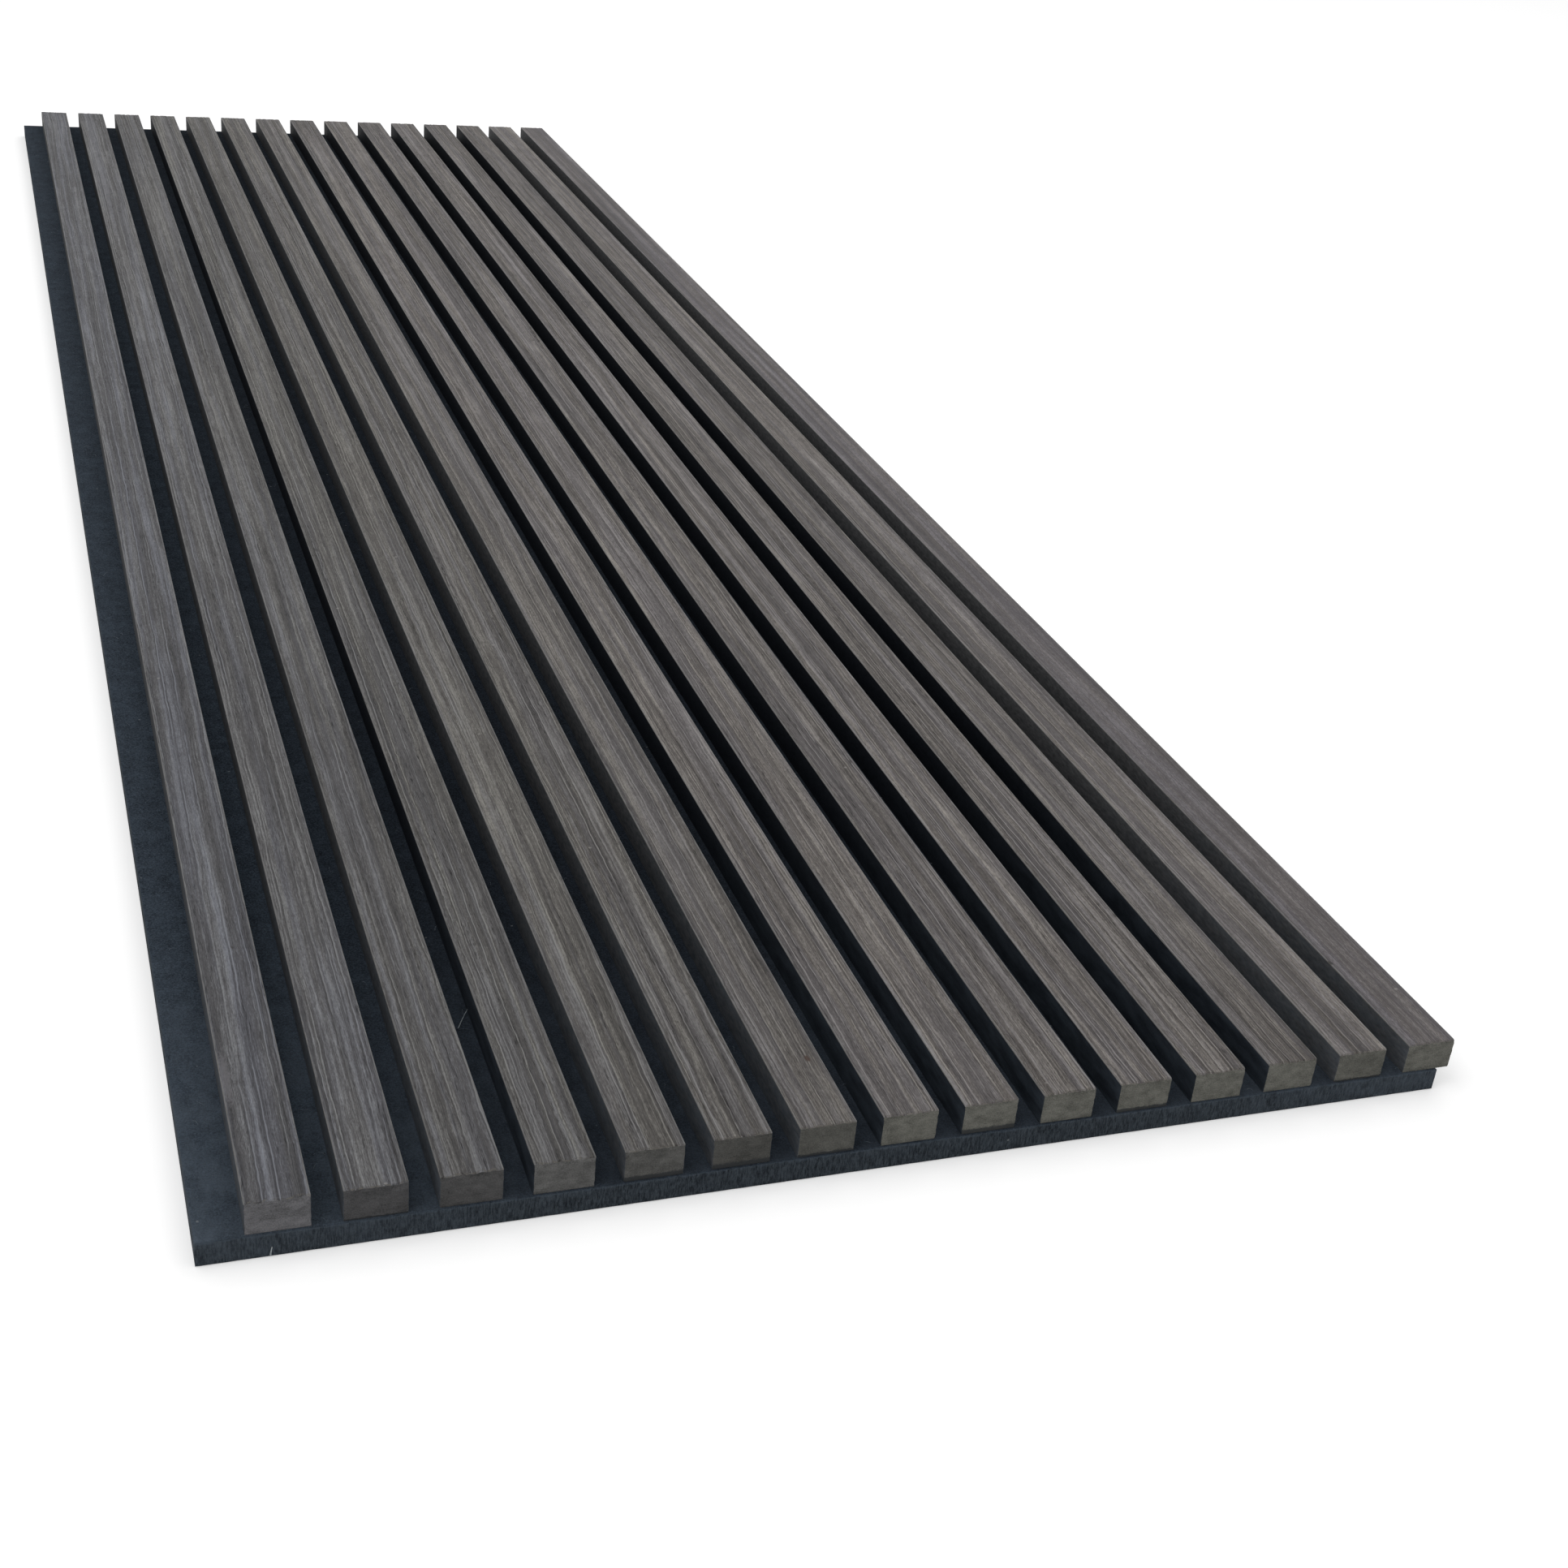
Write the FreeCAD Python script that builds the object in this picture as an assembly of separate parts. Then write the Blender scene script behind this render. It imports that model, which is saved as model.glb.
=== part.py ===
import FreeCAD, Part
import math
import os

# Acoustic slat wall panel, lying on its back with the slats up. All sizes are in millimetres.
# The origin is the middle of the felt's back face. +X runs across the slats, +Y along them
# and +Z out of the back face, towards the room when the panel is on a wall.

# Driving dimensions of the panel
panel_length = 2000.0
slat_count = 15
slat_width = 27.0
slat_gap = 13.0

# Bare strip of felt beside the first slat. It slides under the last slat of the next panel.
tongue_width = 20.0

# Felt board: needled polyester, with edges that soften a little where they are cut
felt_thickness = 12.0
felt_edge_radius = 0.8

# Slat core: a lath of dyed fibreboard, its two lower long edges eased
core_thickness = 15.4
core_edge_radius = 0.4

# Oak veneer pressed on the core, its two upper long edges sanded round
veneer_thickness = 0.6
veneer_edge_radius = 0.5

# The sawn slat ends stand this far back from the felt's own cut edge
end_setback = 1.0

# Sizes that follow from the ones above
slat_pitch = slat_width + slat_gap
felt_width = slat_count * slat_pitch
slat_length = panel_length - 2 * end_setback
felt_left = -felt_width / 2
near_end = -panel_length / 2
veneer_base = felt_thickness + core_thickness

# An arris may not be rounder than the sheet it is cut on
sheet_share = 0.95
veneer_round = min(veneer_edge_radius, sheet_share * veneer_thickness)
core_round = min(core_edge_radius, sheet_share * core_thickness)
felt_round = min(felt_edge_radius, sheet_share * felt_thickness / 2)


def slat_left(index):
    """X of the left side of one slat, counted from 0 beside the tongue."""
    return felt_left + tongue_width + index * slat_pitch


def corner_arc(centre_x, centre_z, radius, start_degrees):
    """Quarter circle in the XZ plane, turning anticlockwise from its start angle."""
    points = []
    for step in range(3):
        angle = math.radians(start_degrees + 45.0 * step)
        x = centre_x + radius * math.cos(angle)
        z = centre_z + radius * math.sin(angle)
        points.append(FreeCAD.Vector(x, 0, z))
    return Part.Arc(points[0], points[1], points[2]).toShape()


def lath_profile(left, bottom, width, height, lower_round, upper_round):
    """Cross-section of a lath: a rectangle with rounded lower and upper corners."""
    right = left + width
    top = bottom + height
    arcs = []
    if upper_round > 0:
        arcs.append(corner_arc(right - upper_round, top - upper_round, upper_round, 0))
        arcs.append(corner_arc(left + upper_round, top - upper_round, upper_round, 90))
    else:
        arcs.append(Part.Vertex(right, 0, top))
        arcs.append(Part.Vertex(left, 0, top))
    if lower_round > 0:
        arcs.append(corner_arc(left + lower_round, bottom + lower_round, lower_round, 180))
        arcs.append(corner_arc(right - lower_round, bottom + lower_round, lower_round, 270))
    else:
        arcs.append(Part.Vertex(left, 0, bottom))
        arcs.append(Part.Vertex(right, 0, bottom))
    edges = []
    for number, corner in enumerate(arcs):
        following = arcs[(number + 1) % len(arcs)]
        if corner.ShapeType == "Edge":
            edges.append(corner)
        side_start = corner.Vertexes[-1].Point
        side_end = following.Vertexes[0].Point
        edges.append(Part.LineSegment(side_start, side_end).toShape())
    return Part.Face(Part.Wire(edges))


def run_of_lath(profile):
    """A profile drawn out along the slat, from its near sawn end to its far one."""
    placed = profile.copy()
    placed.translate(FreeCAD.Vector(0, near_end + end_setback, 0))
    return placed.extrude(FreeCAD.Vector(0, slat_length, 0))


def slat_core(index):
    """Fibreboard lath of one slat, seated on the felt."""
    profile = lath_profile(
        slat_left(index), felt_thickness, slat_width, core_thickness, core_round, 0
    )
    return run_of_lath(profile)


def slat_veneer(index):
    """Oak veneer of one slat, pressed on the top of its core."""
    profile = lath_profile(
        slat_left(index), veneer_base, slat_width, veneer_thickness, 0, veneer_round
    )
    return run_of_lath(profile)


def felt_backing():
    """Felt board with all its edges softened. The last slat hangs over its right edge."""
    corner = FreeCAD.Vector(felt_left, near_end, 0)
    board = Part.makeBox(felt_width, panel_length, felt_thickness, corner)
    cut_edges = [edge for edge in board.Edges if not is_upright(edge)]
    return board.makeFillet(felt_round, cut_edges)


def is_upright(edge):
    """True for the short edges at the felt's four corners, which stay sharp."""
    low = edge.BoundBox.ZMin
    high = edge.BoundBox.ZMax
    return high - low > felt_thickness / 2


def write_step(name, solid):
    """Write one piece as a STEP file named after its node."""
    solid.exportStep(os.path.join("parts", name + ".step"))


os.makedirs("parts", exist_ok=True)
write_step("felt_backing", felt_backing())
for index in range(slat_count):
    write_step("slat_core_%02d" % (index + 1), slat_core(index))
    write_step("slat_veneer_%02d" % (index + 1), slat_veneer(index))

lap_cover = tongue_width - slat_gap
print("cover width", felt_width)
print("last slat covers the next tongue by", lap_cover)
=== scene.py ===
"""Looks of an acoustic slat wall panel: grey oak slats on a dark felt board.

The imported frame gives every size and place. This script dresses it: each lath and each veneer gets
its own mesh with sawn, slightly broken ends and sanded arrises, the felt gets a soft skin with loose
fibres, and every surface gets a material made of shader nodes.

Meshes are worked out in millimetres and written in metres. +X runs across the slats, +Y along them
and +Z out of the felt, as in the frame.
"""

import logging
import math
from dataclasses import dataclass, field
from enum import Enum
from typing import Callable, Iterable, Optional, Sequence, Union

import bpy
import numpy as np
from mathutils import Matrix, Vector


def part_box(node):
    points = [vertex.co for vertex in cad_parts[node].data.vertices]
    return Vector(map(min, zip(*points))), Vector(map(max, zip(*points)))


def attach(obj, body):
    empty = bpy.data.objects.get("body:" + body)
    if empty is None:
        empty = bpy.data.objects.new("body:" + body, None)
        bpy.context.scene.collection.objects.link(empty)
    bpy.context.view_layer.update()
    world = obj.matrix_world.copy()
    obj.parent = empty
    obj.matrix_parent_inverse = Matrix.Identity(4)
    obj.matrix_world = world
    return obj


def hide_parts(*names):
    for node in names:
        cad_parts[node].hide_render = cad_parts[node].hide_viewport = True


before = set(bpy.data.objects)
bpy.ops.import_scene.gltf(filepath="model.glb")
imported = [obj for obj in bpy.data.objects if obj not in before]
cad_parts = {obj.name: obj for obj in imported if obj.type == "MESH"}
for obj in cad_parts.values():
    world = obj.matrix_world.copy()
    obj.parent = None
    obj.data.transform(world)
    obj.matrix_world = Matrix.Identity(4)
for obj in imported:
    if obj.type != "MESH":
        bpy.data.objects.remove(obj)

MM = 0.001
LOG = logging.getLogger("slat_panel")

Feed = Union[float, Sequence[float], bpy.types.NodeSocket]


class Op(Enum):
    """Arithmetic that a Math node can do."""

    ADD = "ADD"
    SUBTRACT = "SUBTRACT"
    MULTIPLY = "MULTIPLY"
    DIVIDE = "DIVIDE"
    ABSOLUTE = "ABSOLUTE"
    MINIMUM = "MINIMUM"
    MAXIMUM = "MAXIMUM"
    POWER = "POWER"


class Kind(Enum):
    """Kinds of socket that a node group can have."""

    NUMBER = "NodeSocketFloat"
    VECTOR = "NodeSocketVector"
    COLOUR = "NodeSocketColor"


class Slot(Enum):
    """Material slots of the record."""

    FELT = "felt"
    CORE = "core"
    VENEER = "veneer"


class Graph:
    """A node tree with short calls for the nodes that the finishes use."""

    def __init__(self, tree: bpy.types.NodeTree) -> None:
        """Take over a tree.

        Args:
            tree: The node tree to add nodes to.
        """
        self.tree = tree

    def node(self, kind: str, **settings: object) -> bpy.types.Node:
        """Add a node.

        Args:
            kind: Blender's name of the node class.
            **settings: Properties to set on the node.

        Returns:
            The new node.
        """
        made = self.tree.nodes.new(kind)
        for key, value in settings.items():
            setattr(made, key, value)
        return made

    def feed(self, socket: bpy.types.NodeSocket, value: Feed) -> None:
        """Give a socket a constant, or link another socket to it.

        Args:
            socket: The input socket.
            value: A number, a list of numbers or an output socket.
        """
        if isinstance(value, bpy.types.NodeSocket):
            self.tree.links.new(value, socket)
        else:
            socket.default_value = value

    def math(self, op: Op, a: Feed, b: Feed = 0.0, clamp: bool = False) -> bpy.types.NodeSocket:
        """Add a Math node.

        Args:
            op: What to work out.
            a: First number.
            b: Second number.
            clamp: Whether the result is kept between 0 and 1.

        Returns:
            The result's socket.
        """
        made = self.node("ShaderNodeMath", operation=op.value, use_clamp=clamp)
        self.feed(made.inputs[0], a)
        self.feed(made.inputs[1], b)
        return made.outputs[0]

    def step(self, value: Feed, low: float, high: float, start: Feed = 0.0, end: Feed = 1.0) -> bpy.types.NodeSocket:
        """Ease a number from one value to another.

        Args:
            value: The number to read.
            low: Where the change starts.
            high: Where the change ends.
            start: Result at and below low.
            end: Result at and above high.

        Returns:
            The eased number's socket.
        """
        made = self.node("ShaderNodeMapRange", interpolation_type="SMOOTHSTEP", clamp=True)
        for name, number in (("Value", value), ("From Min", low), ("From Max", high), ("To Min", start), ("To Max", end)):
            self.feed(made.inputs[name], number)
        return made.outputs["Result"]

    def ramp(self, value: Feed, low: float, high: float) -> bpy.types.NodeSocket:
        """Turn a number into a share that rises evenly from 0 to 1.

        Args:
            value: The number to read.
            low: Where the share is 0.
            high: Where the share is 1.

        Returns:
            The share's socket.
        """
        made = self.node("ShaderNodeMapRange", interpolation_type="LINEAR", clamp=True)
        for name, number in (("Value", value), ("From Min", low), ("From Max", high)):
            self.feed(made.inputs[name], number)
        return made.outputs["Result"]

    def scaled(self, vector: Feed, x: float, y: float, z: float) -> bpy.types.NodeSocket:
        """Divide a position by a size in each direction, so that noise has that size.

        Args:
            vector: Position in millimetres.
            x: Size along X, in millimetres.
            y: Size along Y, in millimetres.
            z: Size along Z, in millimetres.

        Returns:
            The scaled position's socket.
        """
        made = self.node("ShaderNodeVectorMath", operation="MULTIPLY")
        self.feed(made.inputs[0], vector)
        self.feed(made.inputs[1], (1.0 / x, 1.0 / y, 1.0 / z))
        return made.outputs[0]

    def moved(self, vector: Feed, offset: Feed) -> bpy.types.NodeSocket:
        """Add two vectors.

        Args:
            vector: A position.
            offset: What to add to it.

        Returns:
            The sum's socket.
        """
        made = self.node("ShaderNodeVectorMath", operation="ADD")
        self.feed(made.inputs[0], vector)
        self.feed(made.inputs[1], offset)
        return made.outputs[0]

    def turned(self, vector: Feed, degrees: float) -> bpy.types.NodeSocket:
        """Turn a position about Z.

        Args:
            vector: A position.
            degrees: How far to turn it.

        Returns:
            The turned position's socket.
        """
        made = self.node("ShaderNodeMapping")
        self.feed(made.inputs["Vector"], vector)
        made.inputs["Rotation"].default_value = (0.0, 0.0, math.radians(degrees))
        return made.outputs[0]

    def noise(self, vector: Feed, detail: float = 2.0, roughness: float = 0.5) -> bpy.types.NodeSocket:
        """Add soft noise of one unit's size.

        Args:
            vector: Where to read it, already scaled.
            detail: How many finer layers it has.
            roughness: How strong the finer layers are.

        Returns:
            A number around 0.5.
        """
        made = self.node("ShaderNodeTexNoise")
        self.feed(made.inputs["Vector"], vector)
        self.feed(made.inputs["Scale"], 1.0)
        self.feed(made.inputs["Detail"], detail)
        self.feed(made.inputs["Roughness"], roughness)
        return made.outputs[0]

    def mix(self, factor: Feed, a: Feed, b: Feed, blend: str = "MIX") -> bpy.types.NodeSocket:
        """Blend two colours.

        Args:
            factor: Share of the second colour.
            a: First colour.
            b: Second colour.
            blend: Blender's name of the blend mode.

        Returns:
            The blended colour's socket.
        """
        made = self.node("ShaderNodeMix", data_type="RGBA", blend_type=blend)
        self.feed(made.inputs[0], factor)
        self.feed(made.inputs[6], a)
        self.feed(made.inputs[7], b)
        return made.outputs[2]

    def swing(self, noise: Feed, amount: Feed) -> bpy.types.NodeSocket:
        """Centre a noise on zero and scale it.

        Args:
            noise: A number around 0.5.
            amount: What to multiply it by.

        Returns:
            A number around zero.
        """
        return self.math(Op.MULTIPLY, self.math(Op.SUBTRACT, noise, 0.5), amount)

    def combine(self, x: Feed, y: Feed, z: Feed) -> bpy.types.NodeSocket:
        """Make a vector of three numbers.

        Args:
            x: First part.
            y: Second part.
            z: Third part.

        Returns:
            The vector's socket.
        """
        made = self.node("ShaderNodeCombineXYZ")
        for socket, value in zip(made.inputs, (x, y, z)):
            self.feed(socket, value)
        return made.outputs[0]

    def split(self, vector: Feed) -> tuple[bpy.types.NodeSocket, bpy.types.NodeSocket, bpy.types.NodeSocket]:
        """Take a vector apart.

        Args:
            vector: The vector.

        Returns:
            Its X, Y and Z sockets.
        """
        made = self.node("ShaderNodeSeparateXYZ")
        self.feed(made.inputs[0], vector)
        return made.outputs[0], made.outputs[1], made.outputs[2]


class SharedEffect:
    """An effect that several materials share, as one shader node group."""

    title = "effect"
    takes: tuple[tuple[str, Kind], ...] = ()
    gives: tuple[tuple[str, Kind], ...] = ()

    def __init__(self) -> None:
        """Build the group once."""
        self.group = bpy.data.node_groups.new(self.title, "ShaderNodeTree")
        for name, kind in self.takes:
            self.group.interface.new_socket(name=name, in_out="INPUT", socket_type=kind.value)
        for name, kind in self.gives:
            self.group.interface.new_socket(name=name, in_out="OUTPUT", socket_type=kind.value)
        graph = Graph(self.group)
        source = graph.node("NodeGroupInput")
        target = graph.node("NodeGroupOutput")
        for name, socket in self.draw(graph, source.outputs).items():
            graph.feed(target.inputs[name], socket)

    def draw(self, graph: Graph, given: bpy.types.NodeOutputs) -> dict[str, bpy.types.NodeSocket]:
        """Draw the nodes of the effect.

        Args:
            graph: The group's tree.
            given: The group's inputs.

        Returns:
            The sockets that the group puts out, by name.
        """
        raise NotImplementedError

    def place(self, graph: Graph, **values: Feed) -> bpy.types.NodeOutputs:
        """Put the group in a material.

        Args:
            graph: The material's tree.
            **values: What each input gets, with underscores for spaces.

        Returns:
            The group node's outputs.
        """
        made = graph.node("ShaderNodeGroup", node_tree=self.group)
        for key, value in values.items():
            graph.feed(made.inputs[key.replace("_", " ")], value)
        return made.outputs


class OakGrain(SharedEffect):
    """Straight, fine oak grain along Y: calm cool bands, streaky warm bands, pale threads and pores."""

    title = "oak_grain"
    takes = (
        ("Position", Kind.VECTOR),
        ("Streaks", Kind.NUMBER),
        ("Pores", Kind.NUMBER),
        ("Threads", Kind.NUMBER),
        ("Dark", Kind.COLOUR),
        ("Middle", Kind.COLOUR),
        ("Pale", Kind.COLOUR),
        ("Cool", Kind.COLOUR),
        ("Warm", Kind.COLOUR),
    )
    gives = (("Colour", Kind.COLOUR), ("Pore", Kind.NUMBER), ("Height", Kind.NUMBER))

    def draw(self, graph: Graph, given: bpy.types.NodeOutputs) -> dict[str, bpy.types.NodeSocket]:
        """Draw the grain.

        Args:
            graph: The group's tree.
            given: The group's inputs.

        Returns:
            Colour, pore mask and height.
        """
        position = given["Position"]
        grain = self.wander(graph, position)
        band = graph.noise(graph.scaled(grain, 5.2, 420.0, 5.2), detail=2.0, roughness=0.5)
        warmth = graph.step(graph.noise(graph.scaled(grain, 4.4, 300.0, 4.4), detail=1.0), 0.38, 0.60)
        streak = graph.noise(graph.scaled(grain, 0.95, 36.0, 0.95), detail=3.0, roughness=0.7)
        fibre = graph.noise(graph.scaled(grain, 0.32, 5.0, 0.32), detail=2.0, roughness=0.6)
        mottle = graph.noise(graph.scaled(grain, 0.6, 2.0, 0.6), detail=2.0, roughness=0.65)
        cloud = graph.noise(graph.scaled(position, 9.0, 26.0, 9.0), detail=3.0, roughness=0.6)
        # The calm bands are smooth, the warm ones streaky.
        liveliness = graph.math(Op.MULTIPLY, given["Streaks"], graph.step(warmth, 0.0, 1.0, 0.6, 1.1))
        ribbon = graph.noise(graph.scaled(grain, 2.1, 230.0, 2.1), detail=3.0, roughness=0.6)
        tone = graph.swing(band, 1.6)
        tone = graph.math(Op.ADD, tone, graph.swing(ribbon, graph.math(Op.MULTIPLY, given["Streaks"], 0.95)))
        tone = graph.math(Op.ADD, tone, graph.swing(streak, liveliness))
        tone = graph.math(Op.ADD, tone, graph.swing(fibre, 1.2))
        tone = graph.math(Op.ADD, tone, graph.swing(mottle, 0.85))
        tone = graph.math(Op.ADD, tone, graph.swing(cloud, 0.6))
        colour = graph.mix(graph.ramp(tone, -0.8, 0.0), given["Dark"], given["Middle"])
        colour = graph.mix(graph.ramp(tone, 0.0, 0.8), colour, given["Pale"])
        # Each pale thread has a thin dark one beside it.
        for spacing, half_width, shift, share, target in (
            (6.4, 0.50, 0.75, 0.42, "Dark"),
            (6.4, 0.40, 0.0, 0.80, "Pale"),
            (2.9, 0.26, 0.0, 0.30, "Pale"),
        ):
            line = graph.math(Op.MULTIPLY, self.lines(graph, grain, spacing, half_width, shift), share)
            line = graph.math(Op.MULTIPLY, line, given["Threads"], clamp=True)
            colour = graph.mix(line, colour, given[target])
        pore = graph.math(Op.MULTIPLY, self.pores(graph, grain, band), given["Pores"], clamp=True)
        ray = graph.noise(graph.scaled(graph.turned(grain, 13.0), 0.34, 2.6, 0.34), detail=1.0)
        ray = graph.math(Op.MULTIPLY, graph.step(ray, 0.54, 0.70, 0.0, 0.45), warmth)
        pore = graph.math(Op.MAXIMUM, pore, graph.math(Op.MULTIPLY, ray, given["Pores"]))
        colour = graph.mix(pore, colour, given["Dark"])
        tint = graph.mix(warmth, given["Cool"], given["Warm"])
        colour = graph.mix(1.0, colour, tint, blend="MULTIPLY")
        relief = graph.math(Op.ADD, graph.math(Op.MULTIPLY, streak, 0.6), graph.math(Op.MULTIPLY, fibre, 0.6))
        height = graph.math(Op.SUBTRACT, relief, graph.math(Op.MULTIPLY, pore, 0.9))
        return {"Colour": colour, "Pore": pore, "Height": height}

    @staticmethod
    def wander(graph: Graph, position: Feed) -> bpy.types.NodeSocket:
        """Bend the grain sideways by a millimetre or two over a hand's length.

        Args:
            graph: The group's tree.
            position: Position in millimetres.

        Returns:
            The bent position.
        """
        drift = graph.noise(graph.scaled(position, 60.0, 420.0, 60.0), detail=2.0)
        waver = graph.noise(graph.scaled(position, 9.0, 30.0, 9.0), detail=2.0)
        kink = graph.noise(graph.scaled(position, 2.6, 6.5, 2.6), detail=1.0)
        sideways = graph.math(Op.ADD, graph.swing(drift, 7.0), graph.swing(waver, 2.0))
        sideways = graph.math(Op.ADD, sideways, graph.swing(kink, 0.5))
        return graph.moved(position, graph.combine(sideways, 0.0, 0.0))

    @staticmethod
    def lines(graph: Graph, grain: Feed, spacing: float, half_width: float, shift: float) -> bpy.types.NodeSocket:
        """Draw long thin lines at uneven spacings, each of which fades in and out by itself.

        Args:
            graph: The group's tree.
            grain: The bent position.
            spacing: Mean distance between the lines, in millimetres.
            half_width: Half of a line's width.
            shift: How far the lines are moved sideways.

        Returns:
            The lines' mask.
        """
        x, y, _ = graph.split(grain)
        cells = graph.node("ShaderNodeTexVoronoi", voronoi_dimensions="1D", feature="F1")
        graph.feed(cells.inputs["W"], graph.math(Op.DIVIDE, graph.math(Op.ADD, x, shift), spacing))
        graph.feed(cells.inputs["Scale"], 1.0)
        graph.feed(cells.inputs["Randomness"], 0.9)
        edge = half_width / spacing
        line = graph.step(cells.outputs["Distance"], 0.25 * edge, edge, 1.0, 0.0)
        own = graph.node("ShaderNodeSeparateColor")
        graph.feed(own.inputs[0], cells.outputs["Color"])
        place = graph.combine(graph.math(Op.MULTIPLY, own.outputs[0], 61.0), graph.math(Op.DIVIDE, y, 95.0), 0.0)
        fade = graph.noise(place, detail=3.0, roughness=0.6)
        return graph.math(Op.MULTIPLY, line, graph.step(fade, 0.36, 0.56, 0.15, 1.0))

    @staticmethod
    def pores(graph: Graph, grain: Feed, band: Feed) -> bpy.types.NodeSocket:
        """Draw short dark dashes that crowd together in rows.

        Args:
            graph: The group's tree.
            grain: The bent position.
            band: Broad noise that says where the dashes crowd.

        Returns:
            The dashes' mask.
        """
        dash = graph.noise(graph.scaled(grain, 0.32, 8.5, 0.32), detail=2.0, roughness=0.6)
        row = graph.noise(graph.scaled(grain, 1.1, 80.0, 1.1), detail=1.0)
        mask = graph.math(Op.MULTIPLY, graph.step(dash, 0.50, 0.64), graph.step(row, 0.46, 0.62, 0.10, 1.0))
        return graph.math(Op.MULTIPLY, mask, graph.step(band, 0.64, 0.40, 0.4, 1.0))


class EdgeStrip(SharedEffect):
    """A strip beside an edge, uneven along its length: painted highlight on the veneer's arrises, pale fuzz on the
    felt's top edge.
    """

    title = "edge_strip"
    takes = (
        ("Position", Kind.VECTOR),
        ("Distance", Kind.NUMBER),
        ("Width", Kind.NUMBER),
        ("Amount", Kind.NUMBER),
    )
    gives = (("Mask", Kind.NUMBER),)

    def draw(self, graph: Graph, given: bpy.types.NodeOutputs) -> dict[str, bpy.types.NodeSocket]:
        """Draw the strip.

        Args:
            graph: The group's tree.
            given: The group's inputs.

        Returns:
            The mask, 1 where the edge is most worn.
        """
        uneven = graph.noise(graph.scaled(given["Position"], 3.0, 14.0, 3.0), detail=3.0, roughness=0.65)
        width = graph.math(Op.MULTIPLY, given["Width"], graph.step(uneven, 0.3, 0.7, 0.35, 1.5))
        share = graph.math(Op.DIVIDE, given["Distance"], width)
        mask = graph.math(Op.MULTIPLY, graph.step(share, 0.3, 1.0, 1.0, 0.0), given["Amount"], clamp=True)
        return {"Mask": mask}


class FibreMat(SharedEffect):
    """Needled fibres: blotches, a fine nap and thin crossing threads."""

    title = "fibre_mat"
    takes = (
        ("Position", Kind.VECTOR),
        ("Blotches", Kind.NUMBER),
        ("Threads", Kind.NUMBER),
        ("Dark", Kind.COLOUR),
        ("Pale", Kind.COLOUR),
    )
    gives = (("Colour", Kind.COLOUR), ("Height", Kind.NUMBER))

    def draw(self, graph: Graph, given: bpy.types.NodeOutputs) -> dict[str, bpy.types.NodeSocket]:
        """Draw the mat.

        Args:
            graph: The group's tree.
            given: The group's inputs.

        Returns:
            Colour and height.
        """
        position = given["Position"]
        blotch = graph.noise(graph.scaled(position, 8.0, 8.0, 8.0), detail=4.0, roughness=0.65)
        nap = graph.noise(graph.scaled(position, 0.9, 0.9, 0.9), detail=3.0, roughness=0.7)
        thread = self.threads(graph, position)
        tone = graph.swing(blotch, given["Blotches"])
        tone = graph.math(Op.ADD, tone, graph.swing(nap, 3.6))
        tone = graph.math(Op.ADD, tone, graph.math(Op.MULTIPLY, thread, given["Threads"]))
        colour = graph.mix(graph.ramp(tone, -0.55, 0.95), given["Dark"], given["Pale"])
        height = graph.math(Op.ADD, graph.math(Op.MULTIPLY, nap, 0.7), graph.math(Op.MULTIPLY, thread, 0.5))
        return {"Colour": colour, "Height": height}

    @staticmethod
    def threads(graph: Graph, position: Feed) -> bpy.types.NodeSocket:
        """Draw short pale fibres that lie in three directions.

        Args:
            graph: The group's tree.
            position: Position in millimetres.

        Returns:
            The fibres' mask.
        """
        total: Feed = 0.0
        for turn in (15.0, 75.0, 135.0):
            lying = graph.scaled(graph.turned(position, turn), 0.36, 2.2, 0.8)
            total = graph.math(Op.MAXIMUM, total, graph.step(graph.noise(lying, detail=1.0), 0.58, 0.74))
        return total


class Spot(SharedEffect):
    """One soft spot at a chosen place, with a ragged rim."""

    title = "spot"
    takes = (("Position", Kind.VECTOR), ("Centre", Kind.VECTOR), ("Size", Kind.VECTOR), ("Amount", Kind.NUMBER))
    gives = (("Mask", Kind.NUMBER),)

    def draw(self, graph: Graph, given: bpy.types.NodeOutputs) -> dict[str, bpy.types.NodeSocket]:
        """Draw the spot.

        Args:
            graph: The group's tree.
            given: The group's inputs.

        Returns:
            The spot's mask.
        """
        away = graph.node("ShaderNodeVectorMath", operation="SUBTRACT")
        graph.feed(away.inputs[0], given["Position"])
        graph.feed(away.inputs[1], given["Centre"])
        share = graph.node("ShaderNodeVectorMath", operation="DIVIDE")
        graph.feed(share.inputs[0], away.outputs[0])
        graph.feed(share.inputs[1], given["Size"])
        far = graph.node("ShaderNodeVectorMath", operation="LENGTH")
        graph.feed(far.inputs[0], share.outputs[0])
        ragged = graph.swing(graph.noise(graph.scaled(given["Position"], 0.8, 2.4, 0.8), detail=2.0), 1.4)
        mask = graph.step(graph.math(Op.ADD, far.outputs["Value"], ragged), 0.45, 1.05, 1.0, 0.0)
        return {"Mask": graph.math(Op.MULTIPLY, mask, given["Amount"], clamp=True)}


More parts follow.
